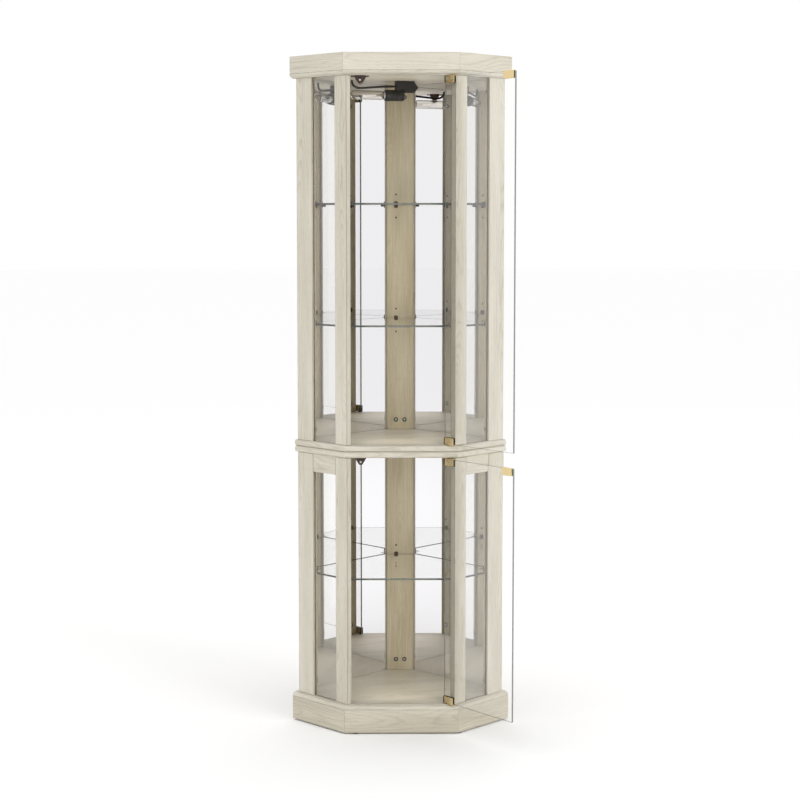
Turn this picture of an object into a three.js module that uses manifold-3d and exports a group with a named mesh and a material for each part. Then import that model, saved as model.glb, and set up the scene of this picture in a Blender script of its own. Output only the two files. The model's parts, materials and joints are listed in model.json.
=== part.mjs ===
// Lighted corner curio cabinet, standing on the floor with its two backs to a room's corner.
// Millimetres, +Z up. The front faces -Y, and the room's corner lies towards +Y.
// Two glazed cases stand one on the other. Each has five posts, two side panes, two mirrored
// backs, glass shelves, and a frameless glass door that hangs open on pivot clamps.

import * as THREE from "three";
import Module from "manifold-3d";
import { mergeVertices } from "three/addons/utils/BufferGeometryUtils.js";

const wasm = await Module();
wasm.setup();

// ---------------------------------------------------------------- driving dimensions
// Plan of crown and plinth: a straight front, two sides at 45 degrees to it, and two backs
// square to the sides, cut off where they would meet. Y is counted from the front face.
const FRONT_HALF = 150;
const WIDTH_HALF = 293;
const DEPTH = 405;

// Set-backs from that plan, square to each face.
const CASE_INSET = 11.5;
const WAIST_INSET = 6.5;

// Levels.
const GLIDE_HEIGHT = 4;
const BASE_BOTTOM = 65;
const BASE_TOP = 77;
const WAIST_BOTTOM = 732;
const WAIST_SEAM = 748.5;
const UPPER_FLOOR = 765;
const CEILING = 1721;
const CROWN_BOTTOM = 1733;
const TOTAL_HEIGHT = 1778;

// Boards and posts.
const FRAME_BOARD = 18;
const TOP_BOARD = 12;
const EDGE_RADIUS = 10;
const BULLNOSE = 7;
const FRONT_POST = { x: 141.4, width: 44, thickness: 15 };
const CORNER_POST = { leg: 61, end: 11.3, side_chamfer: 2, rear_chamfer: 28 };
const RAIL = { height: 48, thickness: 14 };

// Glass, mirrors, and the grooves and rebates that hold them.
const GROOVE = { from: 4.5, to: 9.5, depth: 5 };
const PANE = { from: 5, to: 9, end_gap: 0.4 };
const REBATE = { width: 6, depth: 8 };
const MIRROR = { from: 0.2, to: 5.8 };
const SHELF = { thickness: 5, front_y: 29, side_inset: 16, gap: 2.5 };
const LOWER_SHELVES = { shelf: 408 };
const UPPER_SHELVES = { middle_shelf: 1075, top_shelf: 1392 };

// Doors: the glass turns about two pins near its right-hand edge.
const PIVOT = { x: 120.5, y: 19.3, pin_radius: 2.5, bore_radius: 2.9, reach: 9, bore: 9 };
const DOOR = { width: 257, beyond_pivot: 8, glass: 5, end_gap: 3.5, open_degrees: 130 };
const CLAMP = { length: 36, height: 19, thickness: 11, web: 2 };
const STRIKE = { length: 37, height: 20, thickness: 8, web: 1.6, from_edge: 4 };
const SLOT_HALF = 2.8;

// Touch latches under the ceilings, behind the doors' free corners.
const LATCH = { x: -106, front_y: 30, length: 44, half_width: 14.5, lip: 3, nose: 7, nose_drop: 14 };
const PLUNGER = { drop: 12, rod: 4, bore: 4.6, bore_length: 38, magnet: 5.5, magnet_length: 4 };
const PLUNGER_LENGTH = 36;
const STRIKE_TO_MAGNET = 0.5;

// Lamp under the upper ceiling, lying askew with its bulb towards the front left.
const LAMP_Z = 1682;
const BULB_BASE = new THREE.Vector2(-42, 218);
const BULB_TIP = new THREE.Vector2(-135, 188);
const BULB = { radius: 12.5, cap_radius: 8.5, cap_length: 14, neck: 1, shoulder: 5 };
const SOCKET = { radius: 15, length: 52, mouth_radius: 9.2, mouth_depth: 16, bevel: 3 };
const BRACKET = { half: 9, front: -30, low: 8, shoulder: -80, point: -92, point_z: 21 };
const LEAD = {
  radius: 3, sides: 10, steps: 40, start_z: 24, end_x: 92,
  route: [[-15, 24], [10, 23], [40, 20.5], [64, 18.5], [78, 19], [87, 23.5], [91.5, 30], [92, 34]],
};

const GLIDES = {
  glide_front_left: [-120, 9],
  glide_front_right: [152, 15],
  glide_side_left: [-272, 143],
  glide_side_right: [272, 143],
  glide_rear: [-15, 396],
};
const GLIDE_RADIUS = 8;

// Clearance kept between pieces that touch.
const GAP = 0.3;

// ---------------------------------------------------------------- finishes
const OAK = { color: 0xd3c8ae, roughness: 0.62, metalness: 0 };
const CLEAR_GLASS = { color: 0xdfe8e4, roughness: 0.05, metalness: 0 };
const SILVERED = { color: 0xe6e8ea, roughness: 0.04, metalness: 1 };
const BRASS = { color: 0xc39a3d, roughness: 0.3, metalness: 1 };
const BROWN_PLASTIC = { color: 0x2b1a12, roughness: 0.5, metalness: 0 };
const BLACK_PLASTIC = { color: 0x141211, roughness: 0.45, metalness: 0 };
const LAMP_GLASS = { color: 0xf3e9d2, roughness: 0.08, metalness: 0 };
const STEEL = { color: 0xb9bcc0, roughness: 0.3, metalness: 1 };

const cabinet = new THREE.Group();

function add(parent, name, geometry, finish) {
  const mesh = new THREE.Mesh(geometry, new THREE.MeshStandardMaterial(finish));
  mesh.name = name;
  parent.add(mesh);
}

// ---------------------------------------------------------------- cutting and joining
function toSolid(geometry) {
  const bare = geometry.clone();
  bare.deleteAttribute("normal");
  bare.deleteAttribute("uv");
  const merged = mergeVertices(bare);
  return new wasm.Manifold(new wasm.Mesh({
    numProp: 3,
    vertProperties: merged.attributes.position.array,
    triVerts: new Uint32Array(merged.index.array),
  }));
}

function toGeometry(solid) {
  const mesh = solid.getMesh();
  const geometry = new THREE.BufferGeometry();
  geometry.setAttribute("position", new THREE.BufferAttribute(mesh.vertProperties, 3));
  geometry.setIndex(new THREE.BufferAttribute(mesh.triVerts, 1));
  return geometry;
}

function cut(geometry, tool) {
  return toGeometry(toSolid(geometry).subtract(toSolid(tool)));
}

function join(geometry, other) {
  return toGeometry(toSolid(geometry).add(toSolid(other)));
}

// ---------------------------------------------------------------- basic shapes
function box(x0, x1, y0, y1, z0, z1) {
  const geometry = new THREE.BoxGeometry(x1 - x0, y1 - y0, z1 - z0);
  return geometry.translate((x0 + x1) / 2, (y0 + y1) / 2, (z0 + z1) / 2);
}

function upright(x, y, z0, z1, radius) {
  const geometry = new THREE.CylinderGeometry(radius, radius, z1 - z0, 20);
  return geometry.rotateX(Math.PI / 2).translate(x, y, (z0 + z1) / 2);
}

// A plan outline carried straight up from z0 to z1.
function slab(outline, z0, z1) {
  const settings = { depth: z1 - z0, bevelEnabled: false };
  return new THREE.ExtrudeGeometry(new THREE.Shape(outline), settings).translate(0, 0, z0);
}

// The same with both edges rounded.
function roundedSlab(outline, z0, z1, radius) {
  const settings = {
    depth: z1 - z0 - 2 * radius,
    bevelThickness: radius,
    bevelSize: radius,
    bevelOffset: -radius,
    bevelSegments: 5,
  };
  const geometry = new THREE.ExtrudeGeometry(new THREE.Shape(outline), settings);
  return geometry.translate(0, 0, z0 + radius);
}

// A section drawn in Y and Z, carried along X from x0 to x1.
function alongX(section, x0, x1) {
  const settings = { depth: x1 - x0, bevelEnabled: false };
  const turn = new THREE.Matrix4().makeBasis(
    new THREE.Vector3(0, 1, 0), new THREE.Vector3(0, 0, 1), new THREE.Vector3(1, 0, 0));
  const geometry = new THREE.ExtrudeGeometry(section, settings);
  return geometry.applyMatrix4(turn).translate(x0, 0, 0);
}

// A section drawn in X and Z, carried along Y from y0 to y1.
function alongY(section, y0, y1) {
  const settings = { depth: y1 - y0, bevelEnabled: false };
  return new THREE.ExtrudeGeometry(section, settings).rotateX(Math.PI / 2).translate(0, y1, 0);
}

function polygon(points) {
  return points.map(([x, y]) => new THREE.Vector2(x, y));
}

// ---------------------------------------------------------------- plan
const ROOT2 = Math.SQRT2;
const SIDE_Y = WIDTH_HALF - FRONT_HALF;
const MEETING_Y = WIDTH_HALF + SIDE_Y;
const SIDE_X = WIDTH_HALF - CASE_INSET * ROOT2;
const REAR_Y = MEETING_Y - CASE_INSET * ROOT2;
const POST_Y = FRONT_POST.x - FRONT_HALF + CASE_INSET * ROOT2;
const SIDE_LENGTH = (SIDE_X - FRONT_POST.x) * ROOT2;
const BACK_LENGTH = SIDE_X * ROOT2;

// The six corners of the plan at a set-back, anticlockwise from the front left.
function planOutline(inset) {
  const front = FRONT_HALF - inset * (ROOT2 - 1);
  const side = WIDTH_HALF - inset * ROOT2;
  const rear = MEETING_Y - DEPTH - inset * (ROOT2 - 1);
  return polygon([
    [-front, inset], [front, inset], [side, SIDE_Y],
    [rear, DEPTH - inset], [-rear, DEPTH - inset], [-side, SIDE_Y],
  ]);
}

// A point on the case's side wall, for hand 1 on the right and -1 on the left: along runs from
// the front post's outer edge to the side corner, and inward is square to the outer face.
function onSide(hand, along, inward) {
  const x = FRONT_POST.x + (along - inward) / ROOT2;
  const y = POST_Y + (along + inward) / ROOT2;
  return new THREE.Vector2(hand * x, y);
}

// A point on the case's back wall: along runs from the side corner to where the backs meet.
function onBack(hand, along, inward) {
  const x = SIDE_X - (along + inward) / ROOT2;
  const y = SIDE_Y + (along - inward) / ROOT2;
  return new THREE.Vector2(hand * x, y);
}

const HANDS = { left: -1, right: 1 };

// ---------------------------------------------------------------- plinth and crown frames
// Mitred boards stand along the front and the sides, and two more close the backs.
function addFrame(prefix, z0, z1) {
  const outer = planOutline(0);
  const inner = planOutline(FRAME_BOARD);
  const mitred = (i, j) => {
    const ease = outer[j].clone().sub(outer[i]).setLength(GAP / 2);
    return [
      outer[i].clone().add(ease), outer[j].clone().sub(ease),
      inner[j].clone().sub(ease), inner[i].clone().add(ease),
    ];
  };
  add(cabinet, `${prefix}_front`, slab(mitred(0, 1), z0, z1), OAK);
  add(cabinet, `${prefix}_right`, slab(mitred(1, 2), z0, z1), OAK);
  add(cabinet, `${prefix}_left`, slab(mitred(5, 0), z0, z1), OAK);

  const ease = new THREE.Vector2(-GAP / 2, GAP / 2);
  const back = [
    outer[2].clone().add(ease), outer[3],
    new THREE.Vector2(GAP / 2, DEPTH), new THREE.Vector2(GAP / 2, DEPTH - FRAME_BOARD),
    inner[3], inner[2].clone().add(ease),
  ];
  for (const [side, hand] of Object.entries(HANDS)) {
    const outline = back.map((point) => new THREE.Vector2(hand * point.x, point.y));
    add(cabinet, `${prefix}_back_${side}`, slab(outline, z0, z1), OAK);
  }
}

function addPlinth() {
  addFrame("plinth", GLIDE_HEIGHT, BASE_BOTTOM);
  for (const [name, [x, y]] of Object.entries(GLIDES)) {
    add(cabinet, name, upright(x, y, 0, GLIDE_HEIGHT, GLIDE_RADIUS), BLACK_PLASTIC);
  }
  const below = box(-WIDTH_HALF, WIDTH_HALF, 0, DEPTH, 0, BASE_BOTTOM);
  const whole = roundedSlab(planOutline(0), BASE_TOP - 3 * EDGE_RADIUS, BASE_TOP, EDGE_RADIUS);
  const bore = upright(PIVOT.x, PIVOT.y, BASE_TOP - PIVOT.bore, BASE_TOP + 1, PIVOT.bore_radius);
  add(cabinet, "base_board", cut(cut(whole, below), bore), OAK);
}

function addCrown() {
  addFrame("crown", CROWN_BOTTOM, TOTAL_HEIGHT);
  const above = box(-WIDTH_HALF, WIDTH_HALF, 0, DEPTH, CROWN_BOTTOM, TOTAL_HEIGHT);
  const whole = roundedSlab(planOutline(0), CEILING, CEILING + 3 * EDGE_RADIUS, EDGE_RADIUS);
  const bore = upright(PIVOT.x, PIVOT.y, CEILING - 1, CEILING + PIVOT.bore, PIVOT.bore_radius);
  add(cabinet, "ceiling_board", cut(cut(whole, above), bore), OAK);
  const top = planOutline(FRAME_BOARD + GAP);
  add(cabinet, "top_board", slab(top, TOTAL_HEIGHT - TOP_BOARD, TOTAL_HEIGHT), OAK);
}

// The lower case's top and the upper case's floor show as two bullnosed boards.
function addWaist() {
  const outline = planOutline(WAIST_INSET);
  const lower = roundedSlab(outline, WAIST_BOTTOM, WAIST_SEAM, BULLNOSE);
  const upper = roundedSlab(outline, WAIST_SEAM, UPPER_FLOOR, BULLNOSE);
  const lowerBore = upright(
    PIVOT.x, PIVOT.y, WAIST_BOTTOM - 1, WAIST_BOTTOM + PIVOT.bore, PIVOT.bore_radius);
  const upperBore = upright(
    PIVOT.x, PIVOT.y, UPPER_FLOOR - PIVOT.bore, UPPER_FLOOR + 1, PIVOT.bore_radius);
  add(cabinet, "waist_lower_board", cut(lower, lowerBore), OAK);
  add(cabinet, "waist_upper_board", cut(upper, upperBore), OAK);
}

// ---------------------------------------------------------------- posts, panes and mirrors
// A front post is a board along the side wall, grooved on its rear edge for the side pane.
function frontPost(hand, z0, z1) {
  const { width, thickness } = FRONT_POST;
  const section = [
    [0, 0], [width, 0], [width, GROOVE.from], [width - GROOVE.depth, GROOVE.from],
    [width - GROOVE.depth, GROOVE.to], [width, GROOVE.to], [width, thickness], [0, thickness],
  ];
  return slab(section.map(([along, inward]) => onSide(hand, along, inward)), z0, z1);
}

// Corner posts share one section: a square outer corner, two legs and a flat inner face.
// p and q run from the outer corner along the two outer faces.
const REBATED_END = [
  [REBATE.width, CORNER_POST.leg], [REBATE.width, CORNER_POST.leg - REBATE.depth],
  [0, CORNER_POST.leg - REBATE.depth],
];

// The side post's front leg is grooved for the pane, and its rear leg is rebated for the back.
function sidePost(hand, z0, z1) {
  const { leg, end, side_chamfer } = CORNER_POST;
  const section = [
    [side_chamfer, 0], [leg, 0], [leg, GROOVE.from], [leg - GROOVE.depth, GROOVE.from],
    [leg - GROOVE.depth, GROOVE.to], [leg, GROOVE.to], [leg, end], [end, leg],
    ...REBATED_END, [0, side_chamfer],
  ];
  return slab(section.map(([p, q]) => onSide(hand, SIDE_LENGTH - p, q)), z0, z1);
}

// The rear post stands where the backs meet, rebated on both legs, with its corner cut off.
function rearPost(z0, z1) {
  const { leg, end, rear_chamfer } = CORNER_POST;
  const mirroredEnd = REBATED_END.map(([p, q]) => [q, p]).reverse();
  const section = [
    [rear_chamfer, 0], ...mirroredEnd, [leg, end], [end, leg],
    ...REBATED_END, [0, rear_chamfer],
  ];
  const place = ([p, q]) => new THREE.Vector2((q - p) / ROOT2, REAR_Y - (p + q) / ROOT2);
  return slab(section.map(place), z0, z1);
}

function sidePane(hand, z0, z1) {
  const reach = GROOVE.depth - PANE.end_gap;
  const from = FRONT_POST.width - reach;
  const to = SIDE_LENGTH - CORNER_POST.leg + reach;
  return slab([
    onSide(hand, from, PANE.from), onSide(hand, to, PANE.from),
    onSide(hand, to, PANE.to), onSide(hand, from, PANE.to),
  ], z0, z1);
}

function mirrorPanel(hand, z0, z1) {
  const from = CORNER_POST.leg - REBATE.depth + GAP;
  const to = BACK_LENGTH - from;
  return slab([
    onBack(hand, from, MIRROR.from), onBack(hand, to, MIRROR.from),
    onBack(hand, to, MIRROR.to), onBack(hand, from, MIRROR.to),
  ], z0, z1);
}

// A shelf follows the inside of the case, with its corners cut to pass the posts' flat faces.
function shelf(level) {
  const sideLine = FRONT_HALF - (CASE_INSET + SHELF.side_inset) * ROOT2;
  const flatFace = (CORNER_POST.leg + CORNER_POST.end) / ROOT2 + SHELF.gap;
  const backLine = REAR_Y - (MIRROR.to + SHELF.gap) * ROOT2;
  const corner = SIDE_X - flatFace;
  const rear = REAR_Y - flatFace;
  const right = [
    [SHELF.front_y + sideLine, SHELF.front_y], [corner, corner - sideLine],
    [corner, backLine - corner], [backLine - rear, rear],
  ];
  const left = right.map(([x, y]) => [-x, y]).reverse();
  return slab(polygon([...right, ...left]), level - SHELF.thickness / 2, level + SHELF.thickness / 2);
}

// A rail closes the side wall over the lower pane, and its lower edge is grooved for it.
function sideRail(hand) {
  const from = FRONT_POST.width + GAP;
  const to = SIDE_LENGTH - CORNER_POST.leg - GAP;
  const strip = (start, end, outer, inner) => [
    onSide(hand, start, outer), onSide(hand, end, outer),
    onSide(hand, end, inner), onSide(hand, start, inner),
  ];
  const bottom = WAIST_BOTTOM - RAIL.height;
  const groove = strip(from - 1, to + 1, GROOVE.from, GROOVE.to);
  const whole = slab(strip(from, to, 0, RAIL.thickness), bottom, WAIST_BOTTOM);
  return cut(whole, slab(groove, bottom - 1, bottom + GROOVE.depth));
}

function addCase(prefix, z0, z1, paneTop, shelves) {
  for (const [side, hand] of Object.entries(HANDS)) {
    add(cabinet, `${prefix}_front_post_${side}`, frontPost(hand, z0, z1), OAK);
    add(cabinet, `${prefix}_side_post_${side}`, sidePost(hand, z0, z1), OAK);
    add(cabinet, `${prefix}_side_pane_${side}`, sidePane(hand, z0 + GAP, paneTop), CLEAR_GLASS);
    const mirror = mirrorPanel(hand, z0 + GAP, z1 - GAP);
    add(cabinet, `${prefix}_mirror_${side}`, mirror, SILVERED);
  }
  add(cabinet, `${prefix}_rear_post`, rearPost(z0, z1), OAK);
  for (const [name, level] of Object.entries(shelves)) {
    add(cabinet, `${prefix}_${name}`, shelf(level), CLEAR_GLASS);
  }
}

// ---------------------------------------------------------------- doors
// A channel folded over the glass: up is 1 for one that sits on its top edge, -1 for below.
function channel({ height, thickness, web }, up) {
  const half = thickness / 2;
  return new THREE.Shape(polygon([
    [-half, 0], [half, 0], [half, -height * up], [SLOT_HALF, -height * up],
    [SLOT_HALF, -web * up], [-SLOT_HALF, -web * up], [-SLOT_HALF, -height * up],
    [-half, -height * up],
  ]));
}

// The clamp holds the glass's corner, and its pin turns in a bore of the board beyond.
function pivotClamp(edge, up) {
  const web = edge + up * (GAP + CLAMP.web);
  const body = alongX(channel(CLAMP, up), DOOR.beyond_pivot - CLAMP.length, DOOR.beyond_pivot);
  const ends = [web - up, web + up * PIVOT.reach].sort((a, b) => a - b);
  return join(body.translate(0, 0, web), upright(0, 0, ends[0], ends[1], PIVOT.pin_radius));
}

function addDoor(prefix, floor, ceiling) {
  const door = new THREE.Group();
  door.position.set(PIVOT.x, PIVOT.y, 0);
  door.rotation.z = THREE.MathUtils.degToRad(DOOR.open_degrees);
  cabinet.add(door);

  const bottom = floor + DOOR.end_gap;
  const top = ceiling - DOOR.end_gap;
  const free = DOOR.beyond_pivot - DOOR.width;
  const half = DOOR.glass / 2;
  const glass = box(free, DOOR.beyond_pivot, -half, half, bottom, top);
  const strikeFrom = free + STRIKE.from_edge;
  const strike = alongX(channel(STRIKE, 1), strikeFrom, strikeFrom + STRIKE.length);
  add(door, `${prefix}_door_glass`, glass, CLEAR_GLASS);
  add(door, `${prefix}_door_top_clamp`, pivotClamp(top, 1), BRASS);
  add(door, `${prefix}_door_bottom_clamp`, pivotClamp(bottom, -1), BRASS);
  add(door, `${prefix}_door_strike`, strike.translate(0, 0, top + GAP + STRIKE.web), BRASS);
}

// ---------------------------------------------------------------- touch latches
function addLatch(prefix, ceiling) {
  const { half_width, lip, nose, nose_drop } = LATCH;
  const from = -Math.PI / 9;
  const section = new THREE.Shape();
  section.moveTo(-half_width, 0);
  section.lineTo(-half_width, -lip);
  section.lineTo(-nose * Math.cos(from), -nose_drop + nose * Math.sin(from));
  section.absarc(0, -nose_drop, nose, Math.PI - from, 2 * Math.PI + from, false);
  section.lineTo(half_width, -lip);
  section.lineTo(half_width, 0);
  const body = alongY(section, LATCH.front_y, LATCH.front_y + LATCH.length);
  const bore = new THREE.CylinderGeometry(PLUNGER.bore, PLUNGER.bore, PLUNGER.bore_length, 20);
  bore.translate(0, LATCH.front_y - 1 + PLUNGER.bore_length / 2, -PLUNGER.drop);
  const housing = cut(body, bore).translate(LATCH.x, 0, ceiling);
  add(cabinet, `${prefix}_latch_housing`, housing, BROWN_PLASTIC);

  const tip = PIVOT.y + STRIKE.thickness / 2 + STRIKE_TO_MAGNET;
  const neck = tip + PLUNGER.magnet_length;
  const profile = polygon([
    [0, tip], [PLUNGER.magnet, tip], [PLUNGER.magnet, neck], [PLUNGER.rod, neck],
    [PLUNGER.rod, tip + PLUNGER_LENGTH], [0, tip + PLUNGER_LENGTH],
  ]);
  const plunger = new THREE.LatheGeometry(profile, 20);
  plunger.translate(LATCH.x, 0, ceiling - PLUNGER.drop);
  add(cabinet, `${prefix}_latch_plunger`, plunger, STEEL);
}

// ---------------------------------------------------------------- lamp
// The lamp's own X runs from the bulb's cap to its tip.
function addLamp() {
  const reach = BULB_TIP.clone().sub(BULB_BASE);
  const lamp = new THREE.Group();
  lamp.position.set(BULB_BASE.x, BULB_BASE.y, LAMP_Z);
  lamp.rotation.z = reach.angle();
  cabinet.add(lamp);
  const spun = (points) => new THREE.LatheGeometry(polygon(points), 24).rotateZ(-Math.PI / 2);

  const tip = reach.length();
  const dome = [90, 60, 30, 0].map((degrees) => {
    const angle = THREE.MathUtils.degToRad(degrees);
    return [BULB.radius * Math.sin(angle), tip - BULB.radius * (1 - Math.cos(angle))];
  });
  add(lamp, "lamp_bulb", spun([
    [0, -BULB.cap_length], [BULB.cap_radius, -BULB.cap_length], [BULB.cap_radius, BULB.neck],
    [BULB.radius, BULB.neck + BULB.shoulder], ...dome,
  ]), LAMP_GLASS);

  const { radius, length, mouth_radius, mouth_depth, bevel } = SOCKET;
  add(lamp, "lamp_socket", spun([
    [0, -length], [radius - bevel, -length], [radius, -length + bevel], [radius, -bevel],
    [radius - bevel / 2, 0], [mouth_radius, 0], [mouth_radius, -mouth_depth], [0, -mouth_depth],
  ]), BLACK_PLASTIC);

  // The bracket is screwed to the ceiling over the socket and behind it, with a pointed end.
  const drop = CEILING - LAMP_Z;
  const over = radius + 2 * GAP;
  const behind = -length - 2 * GAP;
  const bracket = new THREE.Shape(polygon([
    [BRACKET.front, drop], [BRACKET.front, over], [behind, over], [behind, BRACKET.low],
    [BRACKET.shoulder, BRACKET.low], [BRACKET.point, BRACKET.point_z], [BRACKET.shoulder, drop],
  ]));
  add(lamp, "lamp_bracket", alongY(bracket, -BRACKET.half, BRACKET.half), BLACK_PLASTIC);

  // The lead leaves the bracket over the bulb, runs along it and bends up into the ceiling.
  const points = [[BRACKET.front + GAP, LEAD.start_z], ...LEAD.route, [LEAD.end_x, drop - GAP]];
  const route = new THREE.CatmullRomCurve3(points.map(([x, z]) => new THREE.Vector3(x, 0, z)));
  const circle = new THREE.Shape().absarc(0, 0, LEAD.radius, 0, 2 * Math.PI, false);
  const lead = new THREE.ExtrudeGeometry(circle, {
    steps: LEAD.steps, curveSegments: LEAD.sides, extrudePath: route,
  });
  add(lamp, "lamp_lead", lead, BLACK_PLASTIC);
}

// ---------------------------------------------------------------- assembly
addPlinth();
addCase("lower", BASE_TOP, WAIST_BOTTOM, WAIST_BOTTOM - RAIL.height + GROOVE.depth - PANE.end_gap,
  LOWER_SHELVES);
for (const [side, hand] of Object.entries(HANDS)) {
  add(cabinet, `lower_side_rail_${side}`, sideRail(hand), OAK);
}
addDoor("lower", BASE_TOP, WAIST_BOTTOM);
addLatch("lower", WAIST_BOTTOM);
addWaist();
addCase("upper", UPPER_FLOOR, CEILING, CEILING - GAP, UPPER_SHELVES);
addDoor("upper", UPPER_FLOOR, CEILING);
addLatch("upper", CEILING);
addLamp();
addCrown();

// The origin is the bottom centre of the whole object with its doors open as it stands.
const bounds = new THREE.Box3().setFromObject(cabinet, true);
const centre = bounds.getCenter(new THREE.Vector3());
cabinet.position.set(-centre.x, -centre.y, -bounds.min.z);

export default cabinet;
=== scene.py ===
"""A lighted corner curio cabinet in bleached oak, in the order in which it is put together."""

import json
import math
import random

import bmesh
import bpy
from mathutils import Matrix, Vector


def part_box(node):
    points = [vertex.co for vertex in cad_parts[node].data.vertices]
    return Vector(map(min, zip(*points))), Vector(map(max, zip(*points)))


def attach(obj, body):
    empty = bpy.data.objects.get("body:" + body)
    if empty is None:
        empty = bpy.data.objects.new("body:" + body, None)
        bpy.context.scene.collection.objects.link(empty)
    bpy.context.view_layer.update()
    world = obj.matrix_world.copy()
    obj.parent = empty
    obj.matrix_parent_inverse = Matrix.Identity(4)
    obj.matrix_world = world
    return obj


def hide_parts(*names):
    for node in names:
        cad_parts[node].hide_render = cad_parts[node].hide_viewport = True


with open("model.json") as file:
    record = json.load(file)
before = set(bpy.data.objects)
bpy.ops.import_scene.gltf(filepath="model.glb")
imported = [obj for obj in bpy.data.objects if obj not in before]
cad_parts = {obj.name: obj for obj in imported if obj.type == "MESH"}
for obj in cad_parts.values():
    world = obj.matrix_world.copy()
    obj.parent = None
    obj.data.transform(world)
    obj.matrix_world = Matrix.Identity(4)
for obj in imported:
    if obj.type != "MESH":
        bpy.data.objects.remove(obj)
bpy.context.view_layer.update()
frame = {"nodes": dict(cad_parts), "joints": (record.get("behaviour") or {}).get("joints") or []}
scene = bpy.context.scene
MM = 0.001

# Camera: a long lens at head height, square to the front and tipped a little down.
CAMERA_AWAY = 4.579
CAMERA_HEIGHT = 1.366
CAMERA_LEFT = 0.04
CAMERA_TIP = math.radians(85.08)
CAMERA_TURN = math.radians(-0.458)
front_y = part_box("plinth_front")[0].y
camera_data = bpy.data.cameras.new("camera")
camera_data.sensor_width = 36
camera_data.lens = 79.9
camera_data.shift_y = -0.0415
camera_data.clip_end = 80
camera = bpy.data.objects.new("camera", camera_data)
camera.location = (-CAMERA_LEFT, front_y - CAMERA_AWAY, CAMERA_HEIGHT)
camera.rotation_euler = (CAMERA_TIP, 0, CAMERA_TURN)
scene.collection.objects.link(camera)
scene.camera = camera

# Room: a white studio with a wide pale floor. A soft lamp from the front right gives the posts
# their lighter and darker sides, and a weak one overhead lights the floor. A narrow warm lamp in
# each opening shines back into the case.
scene.view_settings.view_transform = "Standard"
FLOOR_RADIUS = 40
WARM = (1, 0.93, 0.8)
OPENING_LAMP_WIDE = 0.18
OPENING_LAMP_SHORTER = 0.1
OPENING_LAMP_BACK = 20 * MM


def add_node(tree, kind, inputs=None, **settings):
    """A shader node. An input is a value, or another node's output that it is linked to."""
    node = tree.nodes.new(kind)
    for name, value in settings.items():
        setattr(node, name, value)
    for socket, value in (inputs or {}).items():
        if isinstance(value, bpy.types.NodeSocket):
            tree.links.new(value, node.inputs[socket])
        else:
            node.inputs[socket].default_value = value
    return node


def add_object(name, mesh):
    piece = bpy.data.objects.new(name, mesh)
    scene.collection.objects.link(piece)
    return piece


studio = bpy.data.worlds.new("studio")
studio.use_nodes = True
scene.world = studio
studio.node_tree.nodes["Background"].inputs["Color"].default_value = (1, 1, 1, 1)
studio.node_tree.nodes["Background"].inputs["Strength"].default_value = 1.0

ground = bmesh.new()
bmesh.ops.create_circle(ground, cap_ends=True, segments=64, radius=FLOOR_RADIUS)
floor_mesh = bpy.data.meshes.new("studio_floor")
ground.to_mesh(floor_mesh)
floor = add_object("studio_floor", floor_mesh)
floor_finish = bpy.data.materials.new("studio_floor")
floor_finish.use_nodes = True
paper = floor_finish.node_tree.nodes["Principled BSDF"]
paper.inputs["Base Color"].default_value = (0.985, 0.985, 0.985, 1)
paper.inputs["Roughness"].default_value = 0.9
paper.inputs["Specular IOR Level"].default_value = 0.1
floor.data.materials.append(floor_finish)


def soft_lamp(name, place, target, tall, watts, colour=(1, 1, 1), wide=None):
    """A lamp that lights the cabinet and isn't seen itself, directly, mirrored or through glass."""
    data = bpy.data.lights.new(name, "AREA")
    data.shape = "RECTANGLE"
    data.size = wide or tall
    data.size_y = tall
    data.energy = watts
    data.color = colour
    lamp = bpy.data.objects.new(name, data)
    lamp.location = place
    lamp.rotation_euler = (Vector(target) - Vector(place)).to_track_quat("-Z", "Y").to_euler()
    lamp.visible_camera = False
    lamp.visible_glossy = False
    lamp.visible_transmission = False
    scene.collection.objects.link(lamp)


soft_lamp("key_lamp", place=(3.4, -3.4, 3.0), target=(0, 0, 1.1), tall=2, watts=50)
soft_lamp("top_lamp", place=(0, 0, 6), target=(0, 0, 0), tall=5, watts=16)
for case, watts in (("lower", 0.62), ("upper", 1.0)):
    low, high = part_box(f"{case}_rear_post")
    middle = (low.z + high.z) / 2
    soft_lamp(
        f"{case}_opening_lamp",
        place=(0, front_y + OPENING_LAMP_BACK, middle),
        target=(0, 1, middle),
        tall=high.z - low.z - OPENING_LAMP_SHORTER,
        watts=watts,
        colour=WARM,
        wide=OPENING_LAMP_WIDE,
    )

# Oak: bleached, open-grained boards under a satin lacquer. Every board carries its own grain
# axes as an attribute, so that rings, fibres and pores follow its length and change at a joint.
OAK_PALE = (0.715, 0.675, 0.58, 1)
OAK_TAN = (0.565, 0.522, 0.425, 1)
OAK_RING = (0.38, 0.33, 0.25, 1)
OAK_PORE = (0.27, 0.22, 0.155, 1)
# The plinth's oak is darker and more tan than the rest: partly painted shade for the dimmer light low on
# the cabinet, partly its boards' more tan grain.
PLINTH_SHADED_PALE = (0.665, 0.62, 0.515, 1)
PLINTH_SHADED_TAN = (0.49, 0.445, 0.345, 1)
# The posts' inner faces take a darker, warmer oak: painted shade for the dimmer, warmer light inside the
# case.
SHADED_INNER_PALE = (0.60, 0.55, 0.42, 1)
SHADED_INNER_TAN = (0.38, 0.325, 0.205, 1)
# The posts' rounded arrises take a much darker oak: painted shade, a dark line along each edge.
ARRIS_SHADE_PALE = (0.40, 0.36, 0.28, 1)
ARRIS_SHADE_TAN = (0.30, 0.26, 0.19, 1)
RING_SPACING = 4.6 * MM
PORE_DEPTH = 0.12 * MM
SURFACE_SOCKETS = [("Color", "NodeSocketColor")]
SURFACE_SOCKETS += [(name, "NodeSocketFloat") for name in ("Roughness", "Height")]


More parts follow.
